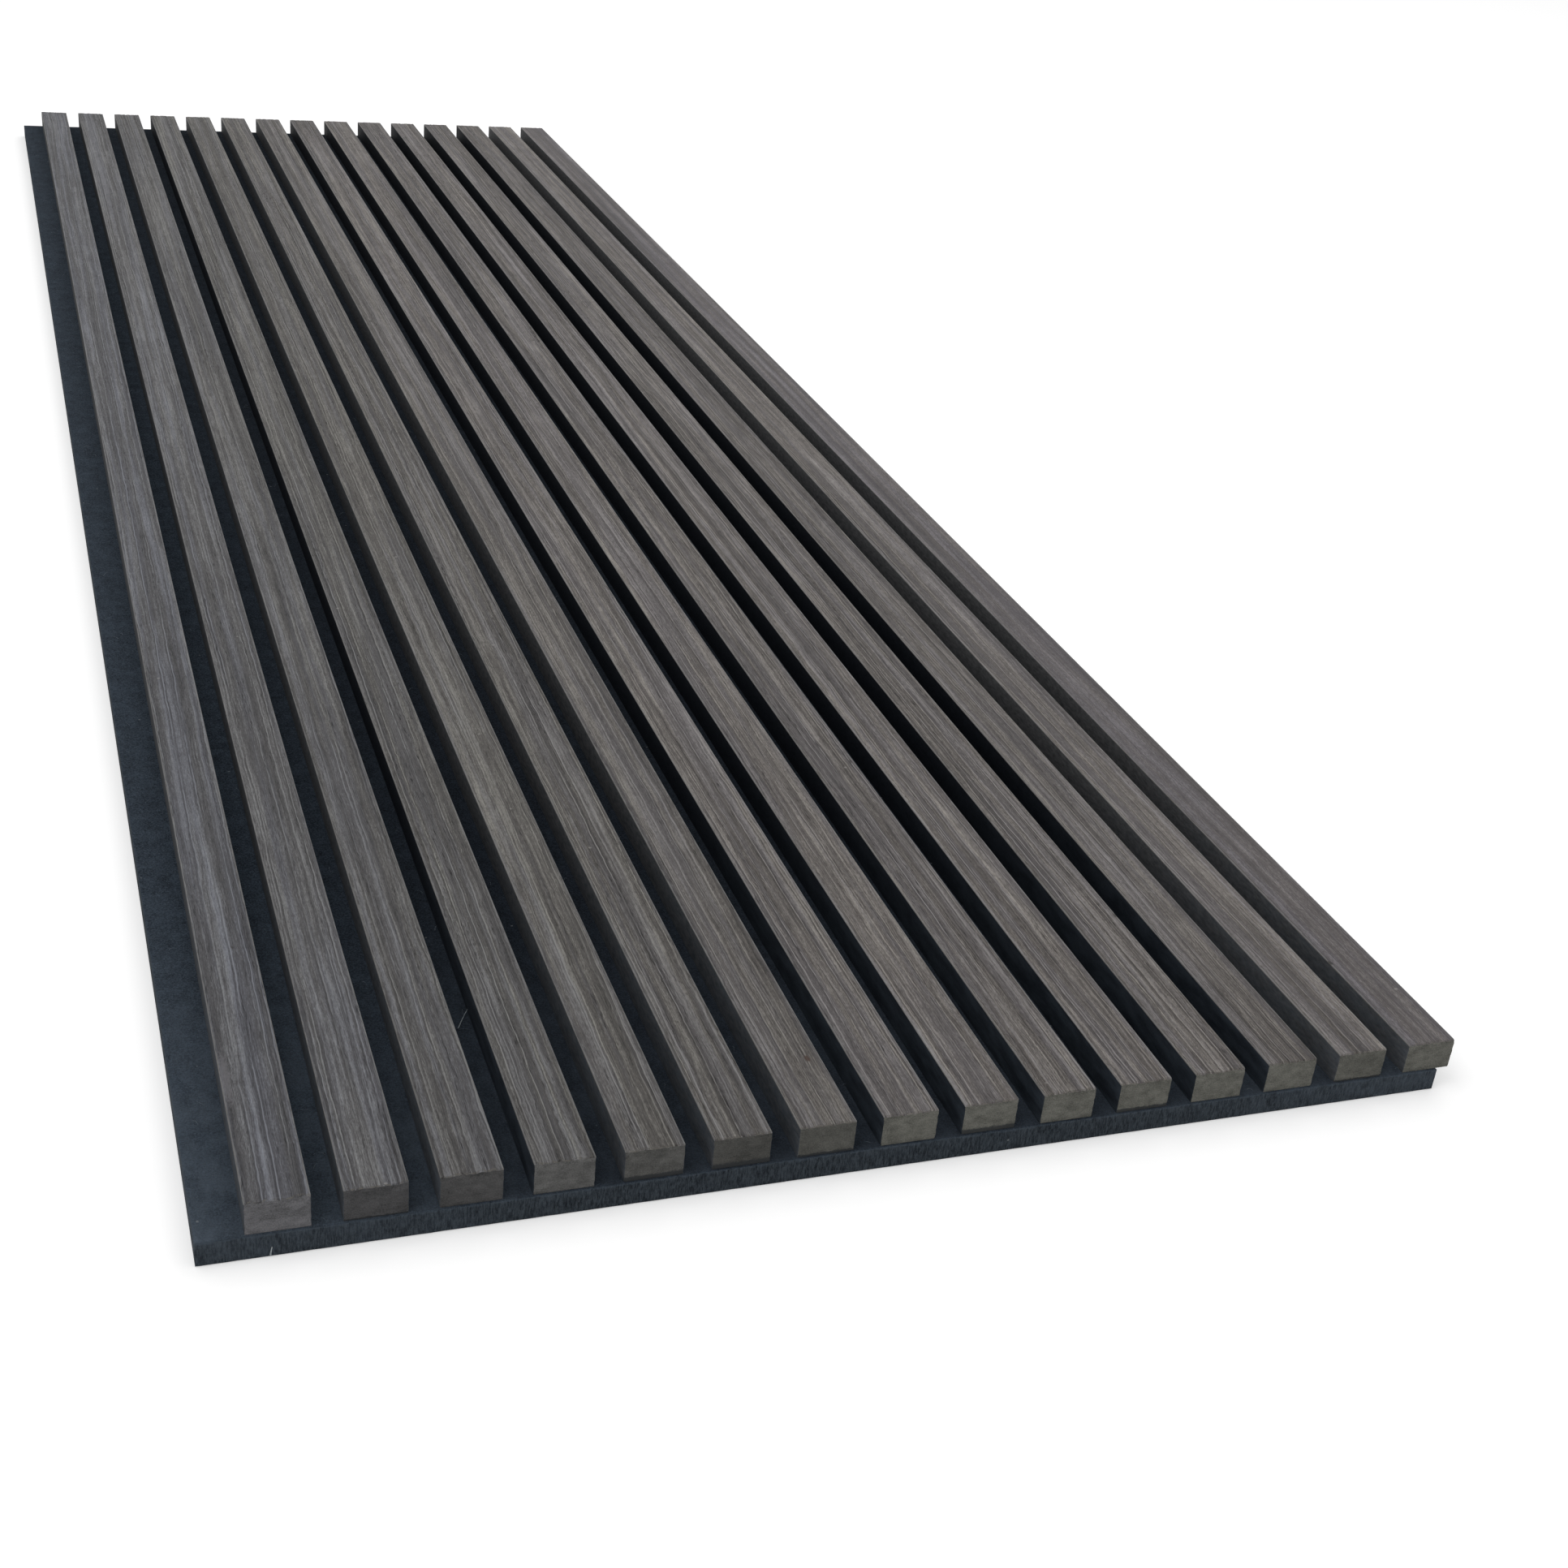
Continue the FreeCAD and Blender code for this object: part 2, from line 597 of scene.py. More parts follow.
class FibreBoard(SharedEffect):
    """Sawn fibreboard: fine grit, soft patches, faint pressed layers and a denser skin at both faces."""

    title = "fibre_board"
    takes = (
        ("Position", Kind.VECTOR),
        ("Depth", Kind.NUMBER),
        ("Thickness", Kind.NUMBER),
        ("Dark", Kind.COLOUR),
        ("Pale", Kind.COLOUR),
    )
    gives = (("Colour", Kind.COLOUR), ("Height", Kind.NUMBER))

    def draw(self, graph: Graph, given: bpy.types.NodeOutputs) -> dict[str, bpy.types.NodeSocket]:
        """Draw the sawn board.

        Args:
            graph: The group's tree.
            given: The group's inputs.

        Returns:
            Colour and height.
        """
        position = given["Position"]
        grit = graph.noise(graph.scaled(position, 0.7, 0.7, 0.6), detail=3.0, roughness=0.75)
        patch = graph.noise(graph.scaled(position, 6.0, 6.0, 4.0), detail=3.0, roughness=0.6)
        layer = graph.noise(graph.scaled(position, 5.0, 5.0, 0.7), detail=2.0, roughness=0.6)
        share = graph.math(Op.DIVIDE, given["Depth"], given["Thickness"])
        middle = graph.math(Op.ABSOLUTE, graph.math(Op.SUBTRACT, share, 0.5))
        skin = graph.step(middle, 0.34, 0.5)
        tone = graph.swing(grit, 3.6)
        tone = graph.math(Op.ADD, tone, graph.swing(patch, 2.6))
        tone = graph.math(Op.ADD, tone, graph.swing(layer, 0.8))
        tone = graph.math(Op.SUBTRACT, tone, graph.math(Op.MULTIPLY, skin, 0.08))
        colour = graph.mix(graph.ramp(tone, -0.8, 0.8), given["Dark"], given["Pale"])
        height = graph.math(Op.ADD, graph.math(Op.MULTIPLY, grit, 0.9), graph.math(Op.MULTIPLY, layer, 0.3))
        return {"Colour": colour, "Height": height}


class Dust(SharedEffect):
    """Sparse pale specks of saw dust."""

    title = "dust"
    takes = (("Position", Kind.VECTOR), ("Spacing", Kind.NUMBER), ("Amount", Kind.NUMBER))
    gives = (("Mask", Kind.NUMBER),)

    def draw(self, graph: Graph, given: bpy.types.NodeOutputs) -> dict[str, bpy.types.NodeSocket]:
        """Draw the specks.

        Args:
            graph: The group's tree.
            given: The group's inputs.

        Returns:
            The specks' mask.
        """
        spread = graph.node("ShaderNodeVectorMath", operation="DIVIDE")
        graph.feed(spread.inputs[0], given["Position"])
        graph.feed(spread.inputs[1], graph.combine(given["Spacing"], given["Spacing"], given["Spacing"]))
        cells = graph.node("ShaderNodeTexVoronoi", feature="F1")
        graph.feed(cells.inputs["Vector"], spread.outputs[0])
        graph.feed(cells.inputs["Scale"], 1.0)
        dot = graph.step(cells.outputs["Distance"], 0.035, 0.075, 1.0, 0.0)
        lit = graph.node("ShaderNodeSeparateColor")
        graph.feed(lit.inputs[0], cells.outputs["Color"])
        chosen = graph.step(lit.outputs[0], 0.72, 0.80)
        mask = graph.math(Op.MULTIPLY, graph.math(Op.MULTIPLY, dot, chosen), given["Amount"], clamp=True)
        return {"Mask": mask}


class NearEndFilm(SharedEffect):
    """Thin patchy pale film that is strongest at the near end and fades along the panel; on the felt it is painted
    light.
    """

    title = "near_end_film"
    takes = (("Position", Kind.VECTOR), ("Near", Kind.NUMBER), ("Reach", Kind.NUMBER), ("Amount", Kind.NUMBER))
    gives = (("Mask", Kind.NUMBER),)

    def draw(self, graph: Graph, given: bpy.types.NodeOutputs) -> dict[str, bpy.types.NodeSocket]:
        """Draw the film.

        Args:
            graph: The group's tree.
            given: The group's inputs.

        Returns:
            The film's mask.
        """
        _, y, _ = graph.split(given["Position"])
        share = graph.math(Op.DIVIDE, graph.math(Op.SUBTRACT, y, given["Near"]), given["Reach"])
        patch = graph.noise(graph.scaled(given["Position"], 9.0, 22.0, 5.0), detail=3.0, roughness=0.6)
        mask = graph.math(Op.MULTIPLY, graph.step(share, 0.0, 1.0, 1.0, 0.0), graph.step(patch, 0.3, 0.7, 0.5, 1.4))
        return {"Mask": graph.math(Op.MULTIPLY, mask, given["Amount"], clamp=True)}


@dataclass(frozen=True)
class Effects:
    """The shared node groups, built once."""

    grain: OakGrain
    edge_band: EdgeStrip
    mat: FibreMat
    board: FibreBoard
    dust: Dust
    film: NearEndFilm
    spot: Spot

    @staticmethod
    def build() -> "Effects":
        """Build every group."""
        return Effects(OakGrain(), EdgeStrip(), FibreMat(), FibreBoard(), Dust(), NearEndFilm(), Spot())


def rgba(red: float, green: float, blue: float) -> tuple[float, float, float, float]:
    """Turn display values from 0 to 255 into a linear colour.

    Args:
        red: Red, as a screen shows it.
        green: Green, as a screen shows it.
        blue: Blue, as a screen shows it.

    Returns:
        The linear colour with full alpha.
    """
    parts = [((value / 255.0 + 0.055) / 1.055) ** 2.4 for value in (red, green, blue)]
    return (parts[0], parts[1], parts[2], 1.0)


class Dressed:
    """A new material with its shader, its position in millimetres and its normal."""

    def __init__(self, name: str, specular: float) -> None:
        """Start a material.

        Args:
            name: The material's name.
            specular: The shader's specular level, the same all over the surface.
        """
        self.material = bpy.data.materials.new(name)
        self.material.use_nodes = True
        tree = self.material.node_tree
        tree.nodes.clear()
        self.graph = Graph(tree)
        self.shader = self.graph.node("ShaderNodeBsdfPrincipled")
        self.shader.inputs["Specular IOR Level"].default_value = specular
        output = self.graph.node("ShaderNodeOutputMaterial")
        self.graph.feed(output.inputs["Surface"], self.shader.outputs[0])
        place = self.graph.node("ShaderNodeTexCoord")
        made = self.graph.node("ShaderNodeVectorMath", operation="SCALE")
        self.graph.feed(made.inputs[0], place.outputs["Object"])
        made.inputs["Scale"].default_value = 1.0 / MM
        self.position = made.outputs[0]
        self.facing = place.outputs["Normal"]

    def finish(self, colour: Feed, roughness: Feed, height: Feed, depth_mm: float) -> bpy.types.Material:
        """Link colour, roughness and bump to the shader.

        Args:
            colour: Base colour.
            roughness: Roughness.
            height: Bump height, about 0 to 1.
            depth_mm: How deep a height of 1 is, in millimetres.

        Returns:
            The finished material.
        """
        bump = self.graph.node("ShaderNodeBump")
        bump.inputs["Strength"].default_value = 1.0
        bump.inputs["Distance"].default_value = depth_mm * MM
        self.graph.feed(bump.inputs["Height"], height)
        self.graph.feed(self.shader.inputs["Normal"], bump.outputs[0])
        self.graph.feed(self.shader.inputs["Base Color"], colour)
        self.graph.feed(self.shader.inputs["Roughness"], roughness)
        return self.material


class Figure(Enum):
    """How lively the grain of a veneer sheet is."""

    BOLD = 1.22
    LIVELY = 1.0
    STEADY = 0.7
    CALM = 0.3


class Leaf(Enum):
    """Which leaf of the log a veneer sheet was cut from, as its share of the usual brightness."""

    PALE = 1.045
    USUAL = 1.0
    DARK = 0.965


@dataclass(frozen=True)
class Mark:
    """A spot on a veneer: its place and size in millimetres, and its colour on a screen."""

    place: tuple[float, float]
    size: tuple[float, float]
    colour: tuple[float, float, float]
    amount: float = 0.9


@dataclass(frozen=True)
class VeneerFinish:
    """Grey smoked oak under a matte lacquer, one sheet per slat."""

    number: int
    centre_x_mm: float
    half_width_mm: float
    face_z_mm: float
    tone: float
    across: float
    figure: Figure
    marks: tuple[Mark, ...]

    def cast(self, level: float, lean: float) -> tuple[float, float, float, float]:
        """Give a band's tint: violet grey at the left of the panel, rosy brown from the middle on.

        Args:
            level: Brightness of the tint.
            lean: How far the band leans to the warm side; negative for a cool band.

        Returns:
            The tint, which the grain's colour is multiplied by.
        """
        red = 1.008 + 0.11 * min(1.0, 1.9 * self.across) + 0.25 * lean
        blue = 1.10 - 0.135 * min(1.0, 4.0 * self.across) - lean
        if self.figure is Figure.CALM:
            blue += 0.065
        return (level * red, level, level * blue, 1.0)

    def grey(self, level: float) -> tuple[float, float, float, float]:
        """Give a grey of this sheet's own tone.

        Args:
            level: Brightness on a screen, 0 to 255.

        Returns:
            The linear colour.
        """
        return rgba(level * self.tone, level * self.tone, level * self.tone)

    def raw_edge(self) -> tuple[float, float, float, float]:
        """Give the colour of bare wood at the veneer's own edges."""
        return rgba(98.0 * self.tone, 95.0 * self.tone, 90.0 * self.tone)

    def material(self, effects: Effects) -> bpy.types.Material:
        """Build the material.

        Args:
            effects: The shared node groups.

        Returns:
            The material of this slat's veneer.
        """
        dressed = Dressed(f"veneer_{self.number:02d}", specular=0.2)
        graph = dressed.graph
        shifted = graph.moved(dressed.position, (0.0, self.number * 173.0, self.number * 29.0))
        grain = effects.grain.place(
            graph,
            Position=shifted,
            Streaks=1.6 * self.figure.value,
            Pores=0.85 * self.figure.value,
            Threads=0.9 * self.figure.value,
            Dark=self.grey(40.0),
            Middle=self.grey(78.0),
            Pale=rgba(126.0 * self.tone, 128.5 * self.tone, 128.0 * self.tone),
            Cool=self.cast(0.945, -0.04),
            Warm=self.cast(0.975, 0.04),
        )
        x, _, _ = graph.split(dressed.position)
        offset = graph.math(Op.ABSOLUTE, graph.math(Op.SUBTRACT, x, self.centre_x_mm))
        distance = graph.math(Op.SUBTRACT, self.half_width_mm, offset)
        # Painted highlight: a pale strip along both long arrises, where the eased edges catch the light.
        arris_highlight = effects.edge_band.place(graph, Position=shifted, Distance=distance, Width=1.0, Amount=0.6)
        colour = graph.mix(arris_highlight["Mask"], grain["Colour"], self.grey(114.0))
        for mark in self.marks:
            spot = effects.spot.place(
                graph,
                Position=dressed.position,
                Centre=(mark.place[0], mark.place[1], self.face_z_mm),
                Size=(mark.size[0], mark.size[1], 10.0),
                Amount=mark.amount,
            )
            colour = graph.mix(spot["Mask"], colour, rgba(*mark.colour))
        _, _, up = graph.split(dressed.facing)
        patchy = graph.step(graph.noise(graph.scaled(shifted, 2.2, 2.2, 2.2), detail=2.0), 0.40, 0.62, 0.0, 0.75)
        torn = graph.math(Op.MULTIPLY, graph.step(up, 0.80, 0.93, 1.0, 0.0), patchy)
        colour = graph.mix(torn, colour, self.raw_edge())
        specks = effects.dust.place(graph, Position=shifted, Spacing=17.0, Amount=0.35)
        colour = graph.mix(specks["Mask"], colour, rgba(165.0, 162.0, 158.0))
        roughness = graph.math(Op.ADD, 0.58, graph.math(Op.MULTIPLY, grain["Pore"], 0.3))
        return dressed.finish(colour, roughness, grain["Height"], depth_mm=0.10)


class DyeDepth(Enum):
    """How deep the dye runs in a lath's fibreboard, as the sawn end's brightness on a screen."""

    PALE = 97.0
    FADED = 90.0
    MIDDLE = 82.5
    DEEP = 72.5


class SidePaint(Enum):
    """Paint on a lath's long sides, as the dark and the pale end of its colour on a screen."""

    BLACK = ((5.0, 8.0, 13.0), (21.0, 24.0, 30.0))
    WORN_GREY = ((42.0, 45.0, 49.0), (78.0, 78.0, 79.0))
    PALE_GREY = ((56.0, 57.0, 59.0), (86.0, 86.0, 87.0))


@dataclass(frozen=True)
class CoreFinish:
    """Dyed fibreboard: black paint on its long sides, bare and olive grey where it is sawn."""

    number: int
    base_z_mm: float
    thickness_mm: float
    dye: DyeDepth
    paint: SidePaint
    across: float
    near_y_mm: float
    foot_shade_mm: float

    def shade_foot(self, graph: Graph, colour: Feed, position: Feed, depth: Feed) -> Feed:
        """Darken the foot of the sawn end with painted shade, where the lath meets the felt.

        Args:
            graph: The material's tree.
            colour: The sawn board's colour.
            position: Position in millimetres.
            depth: Height above the lath's foot, in millimetres.

        Returns:
            The colour with painted shade at its foot, or the same colour on a lath without one.
        """
        if self.foot_shade_mm <= 0.0:
            return colour
        # Painted shade: a dark band with a ragged top along the foot of the sawn end, where the lath meets the felt.
        uneven = graph.swing(graph.noise(graph.scaled(position, 1.6, 1.6, 1.6), detail=3.0, roughness=0.6), 2.0)
        height = graph.math(Op.ADD, depth, uneven)
        foot_shade = graph.step(height, 0.75 * self.foot_shade_mm, 1.35 * self.foot_shade_mm, 0.9, 0.0)
        return graph.mix(foot_shade, colour, rgba(49.0, 51.0, 53.0))

    def material(self, effects: Effects) -> bpy.types.Material:
        """Build the material.

        Args:
            effects: The shared node groups.

        Returns:
            The material of this slat's lath.
        """
        dressed = Dressed(f"core_{self.number:02d}", specular=0.1)
        graph = dressed.graph
        _, _, z = graph.split(dressed.position)
        depth = graph.math(Op.SUBTRACT, z, self.base_z_mm)
        low, high = 0.80 * self.dye.value, 1.22 * self.dye.value
        yellowing = 1.02 - 0.08 * min(1.0, 2.0 * self.across)
        sawn = effects.board.place(
            graph,
            Position=dressed.position,
            Depth=depth,
            Thickness=self.thickness_mm,
            Dark=rgba(low, low, low * yellowing),
            Pale=rgba(high, high * 0.995, high * yellowing),
        )
        brush = graph.noise(graph.scaled(dressed.position, 2.0, 6.5, 1.8), detail=4.0, roughness=0.7)
        dark, pale = self.paint.value
        paint = graph.mix(graph.ramp(brush, 0.32, 0.68), rgba(*dark), rgba(*pale))
        film = effects.film.place(graph, Position=dressed.position, Near=self.near_y_mm, Reach=360.0, Amount=0.20)
        paint = graph.mix(film["Mask"], paint, rgba(88.0, 98.0, 109.0))
        side, _, _ = graph.split(dressed.facing)
        painted = graph.step(graph.math(Op.ABSOLUTE, side), 0.45, 0.75)
        bare = self.shade_foot(graph, sawn["Colour"], dressed.position, depth)
        colour = graph.mix(painted, bare, paint)
        roughness = graph.step(painted, 0.0, 1.0, 0.9, 0.62)
        return dressed.finish(colour, roughness, sawn["Height"], depth_mm=0.12)


@dataclass(frozen=True)
class FeltFinish:
    """Blue-black needled felt, with upright fibre streaks on its cut edges."""

    half_length_mm: float
    half_width_mm: float
    thickness_mm: float

    def material(self, effects: Effects) -> bpy.types.Material:
        """Build the material.

        Args:
            effects: The shared node groups.

        Returns:
            The felt's material.
        """
        dressed = Dressed("felt", specular=0.05)
        dressed.shader.inputs["Sheen Weight"].default_value = 0.03
        dressed.shader.inputs["Sheen Roughness"].default_value = 0.6
        graph = dressed.graph
        mat = effects.mat.place(
            graph,
            Position=dressed.position,
            Blotches=1.4,
            Threads=0.9,
            Dark=rgba(18.0, 25.0, 33.0),
            Pale=rgba(68.0, 79.0, 91.0),
        )
        _, _, up = graph.split(dressed.facing)
        cut = graph.step(graph.math(Op.ABSOLUTE, up), 0.25, 0.7, 1.0, 0.0)
        streak = graph.noise(graph.scaled(dressed.position, 0.6, 0.6, 3.4), detail=3.0, roughness=0.7)
        cut_colour = graph.mix(graph.ramp(streak, 0.38, 0.62), rgba(11.0, 15.0, 20.0), rgba(66.0, 73.0, 79.0))
        colour = graph.mix(graph.math(Op.MULTIPLY, cut, 0.85), mat["Colour"], cut_colour)
        x, _, z = graph.split(dressed.position)
        # Painted shade: from the left margin towards the right the felt's top is darkened to under half, for the shade
        # that falls between the laths.
        gap_shade = graph.step(x, -0.85 * self.half_width_mm, -0.43 * self.half_width_mm)
        gap_shade = graph.math(Op.MULTIPLY, gap_shade, graph.step(up, 0.5, 0.9))
        shaded_felt = graph.mix(1.0, colour, (0.45, 0.46, 0.49, 1.0), blend="MULTIPLY")
        colour = graph.mix(gap_shade, colour, shaded_felt)
        # Painted light: a pale film on the near end of the felt, thickest towards its side edges, for the light that
        # falls in from the near side.
        sideways = graph.math(Op.DIVIDE, graph.math(Op.ABSOLUTE, x), self.half_width_mm)
        corner = graph.step(sideways, 0.35, 1.0, 0.16, 0.34)
        corner = graph.math(Op.SUBTRACT, corner, graph.math(Op.MULTIPLY, cut, 0.08))
        film = effects.film.place(
            graph, Position=dressed.position, Near=-self.half_length_mm, Reach=0.3 * self.half_length_mm, Amount=corner,
        )
        colour = graph.mix(film["Mask"], colour, rgba(88.0, 98.0, 109.0))
        below_top = graph.math(Op.SUBTRACT, self.thickness_mm, z)
        fuzzy = effects.edge_band.place(graph, Position=dressed.position, Distance=below_top, Width=1.8, Amount=cut)
        colour = graph.mix(graph.math(Op.MULTIPLY, fuzzy["Mask"], 0.45), colour, rgba(76.0, 86.0, 97.0))
        specks = effects.dust.place(graph, Position=dressed.position, Spacing=11.0, Amount=0.5)
        colour = graph.mix(specks["Mask"], colour, rgba(135.0, 140.0, 144.0))
        height = graph.math(Op.ADD, mat["Height"], graph.math(Op.MULTIPLY, graph.math(Op.MULTIPLY, streak, cut), 0.8))
        return dressed.finish(colour, 0.95, height, depth_mm=0.35)


@dataclass(frozen=True)
class FloorFinish:
    """Pale matte floor that the camera sees a little lighter than it is."""

    grey: float = 0.86
    lift: float = 0.34

    def material(self) -> bpy.types.Material:
        """Build the floor's material.

        Returns:
            The material.
        """
        dressed = Dressed("floor", specular=0.0)
        graph = dressed.graph
        shader = dressed.shader
        shader.inputs["Base Color"].default_value = (self.grey, self.grey, self.grey, 1.0)
        shader.inputs["Roughness"].default_value = 1.0
        shader.inputs["Emission Color"].default_value = (1.0, 1.0, 1.0, 1.0)
        seen = graph.node("ShaderNodeLightPath")
        graph.feed(shader.inputs["Emission Strength"], graph.math(Op.MULTIPLY, seen.outputs["Is Camera Ray"], self.lift))
        return dressed.material


class Shell:
    """Closed skin over the grid lines of a box, whose points can be pushed before it becomes a mesh."""

    def __init__(self, xs: np.ndarray, ys: np.ndarray, zs: np.ndarray, end_rows: int = 0) -> None:
        """Lay out the points and faces.

        Args:
            xs: Grid lines across, in millimetres.
            ys: Grid lines along.
            zs: Grid lines up.
            end_rows: How many rows beside each end the bottom keeps its inner points for.
        """
        self.nx, self.ny, self.nz = len(xs) - 1, len(ys) - 1, len(zs) - 1
        self.places: dict[tuple[int, int, int], int] = {}
        self.faces: list[list[int]] = []
        self.end_rows = end_rows
        points: list[tuple[float, float, float]] = []
        for j in range(self.ny + 1):
            for k in range(self.nz + 1):
                for i in range(self.nx + 1):
                    if self.on_skin(i, j, k):
                        self.places[i, j, k] = len(points)
                        points.append((xs[i], ys[j], zs[k]))
        self.points = np.array(points, float)
        self.grid = self.points.copy()
        self.end_faces()
        self.side_faces()
        for k in (0, self.nz):
            self.flat_faces(k)

    def full(self, j: int, k: int) -> bool:
        """Tell whether a row of the bottom or the top has points between its two sides."""
        return k == self.nz or min(j, self.ny - j) <= self.end_rows

    def on_skin(self, i: int, j: int, k: int) -> bool:
        """Tell whether a grid point is part of the skin."""
        if j in (0, self.ny) or i in (0, self.nx):
            return True
        return k in (0, self.nz) and self.full(j, k)

    def end_faces(self) -> None:
        """Add the faces of the near and the far end."""
        at = self.places
        for i in range(self.nx):
            for k in range(self.nz):
                self.faces.append([at[i, 0, k], at[i + 1, 0, k], at[i + 1, 0, k + 1], at[i, 0, k + 1]])
                n = self.ny
                self.faces.append([at[i, n, k], at[i, n, k + 1], at[i + 1, n, k + 1], at[i + 1, n, k]])

    def side_faces(self) -> None:
        """Add the faces of the left and the right side."""
        at = self.places
        for j in range(self.ny):
            for k in range(self.nz):
                self.faces.append([at[0, j, k], at[0, j, k + 1], at[0, j + 1, k + 1], at[0, j + 1, k]])
                n = self.nx
                self.faces.append([at[n, j, k], at[n, j + 1, k], at[n, j + 1, k + 1], at[n, j, k + 1]])

    def flat_faces(self, k: int) -> None:
        """Add the faces of the bottom or the top.

        Args:
            k: Which grid level they lie on.
        """
        at = self.places
        for j in range(self.ny):
            if self.full(j, k) and self.full(j + 1, k):
                rings = [[at[i, j, k], at[i + 1, j, k], at[i + 1, j + 1, k], at[i, j + 1, k]] for i in range(self.nx)]
            else:
                near = range(self.nx + 1) if self.full(j, k) else (0, self.nx)
                far = range(self.nx, -1, -1) if self.full(j + 1, k) else (self.nx, 0)
                rings = [[at[i, j, k] for i in near] + [at[i, j + 1, k] for i in far]]
            for ring in rings:
                self.faces.append(ring if k else ring[::-1])

    def mesh(self, name: str, smooth: Callable[[np.ndarray], np.ndarray]) -> bpy.types.Mesh:
        """Make the mesh.

        Args:
            name: The mesh's name.
            smooth: Says which faces are shaded smooth, from the faces' middles on the grid.

        Returns:
            The new mesh, in metres.
        """
        made = bpy.data.meshes.new(name)
        made.from_pydata((self.points * MM).tolist(), [], self.faces)
        middles = np.array([self.grid[face].mean(0) for face in self.faces])
        made.polygons.foreach_set("use_smooth", smooth(middles))
        made.update()
        return made


def wave(seed: int, places: np.ndarray, length: float, layers: int = 4) -> np.ndarray:
    """Give a smooth random curve between about -1 and 1.

    Args:
        seed: Seed of its random phases.
        places: Where to read it, in millimetres.
        length: Its main wavelength, in millimetres.
        layers: How many finer waves are added.

    Returns:
        One value for each place.
    """
    rng = np.random.default_rng(seed)
    total = np.zeros_like(places, dtype=float)
    weight = 0.0
    for layer in range(layers):
        stretch = length / (1.0 + 0.83 * layer) * rng.uniform(0.8, 1.25)
        share = 1.0 / (1.0 + 0.55 * layer)
        total += share * np.sin(2.0 * math.pi * places / stretch + rng.uniform(0.0, 2.0 * math.pi))
        weight += share
    return total / weight


def rounded(along: np.ndarray, down: np.ndarray, reach: np.ndarray, drop: np.ndarray) -> tuple[np.ndarray, np.ndarray]:
    """Bend the square corner of two faces to a quarter round.

    Args:
        along: Distance from the corner on the first face.
        down: Distance from the corner on the second face.
        reach: How far the round goes on the first face.
        drop: How far it goes on the second face.

    Returns:
        The two distances after bending.
    """
    u = (reach - along) / np.maximum(reach, 1e-9)
    v = (drop - down) / np.maximum(drop, 1e-9)
    inside = (u > 0.0) & (v > 0.0)
    longest = np.maximum(np.abs(u), np.abs(v))
    pull = longest / np.maximum(np.hypot(u, v), 1e-9)
    return (
        np.where(inside, reach * (1.0 - u * pull), along),
        np.where(inside, drop * (1.0 - v * pull), down),
    )


def spread(low: float, high: float, edge_steps: Sequence[float], step: float) -> np.ndarray:
    """Lay grid lines that are close near both edges and even between them.

    Args:
        low: First line.
        high: Last line.
        edge_steps: Distances from each edge of the lines beside it.
        step: Largest distance between the lines in the middle.

    Returns:
        The lines, in order.
    """
    inner_low, inner_high = low + edge_steps[-1], high - edge_steps[-1]
    count = max(2, int(math.ceil((inner_high - inner_low) / step)) + 1)
    left = [low] + [low + distance for distance in edge_steps[:-1]]
    right = [high - distance for distance in reversed(edge_steps[:-1])] + [high]
    return np.array(left + list(np.linspace(inner_low, inner_high, count)) + right)


def show(name: str, mesh: bpy.types.Mesh, material: bpy.types.Material, node: Optional[str]) -> bpy.types.Object:
    """Put a piece in the scene.

    Args:
        name: The piece's name.
        mesh: Its mesh.
        material: Its material.
        node: The CAD node that it stands for, if any.

    Returns:
        The piece.
    """
    piece = bpy.data.objects.new(name, mesh)
    bpy.context.scene.collection.objects.link(piece)
    mesh.materials.append(material)
    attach(piece, "root")
    if node is not None:
        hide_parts(node)
    LOG.info("%s: %d faces", name, len(mesh.polygons))
    return piece


@dataclass
class Span:
    """A CAD node's box, in millimetres."""

    low: np.ndarray
    high: np.ndarray

    @staticmethod
    def of(node: str) -> "Span":
        """Read a node's box from the frame."""
        low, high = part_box(node)
        return Span(np.array(low) / MM, np.array(high) / MM)


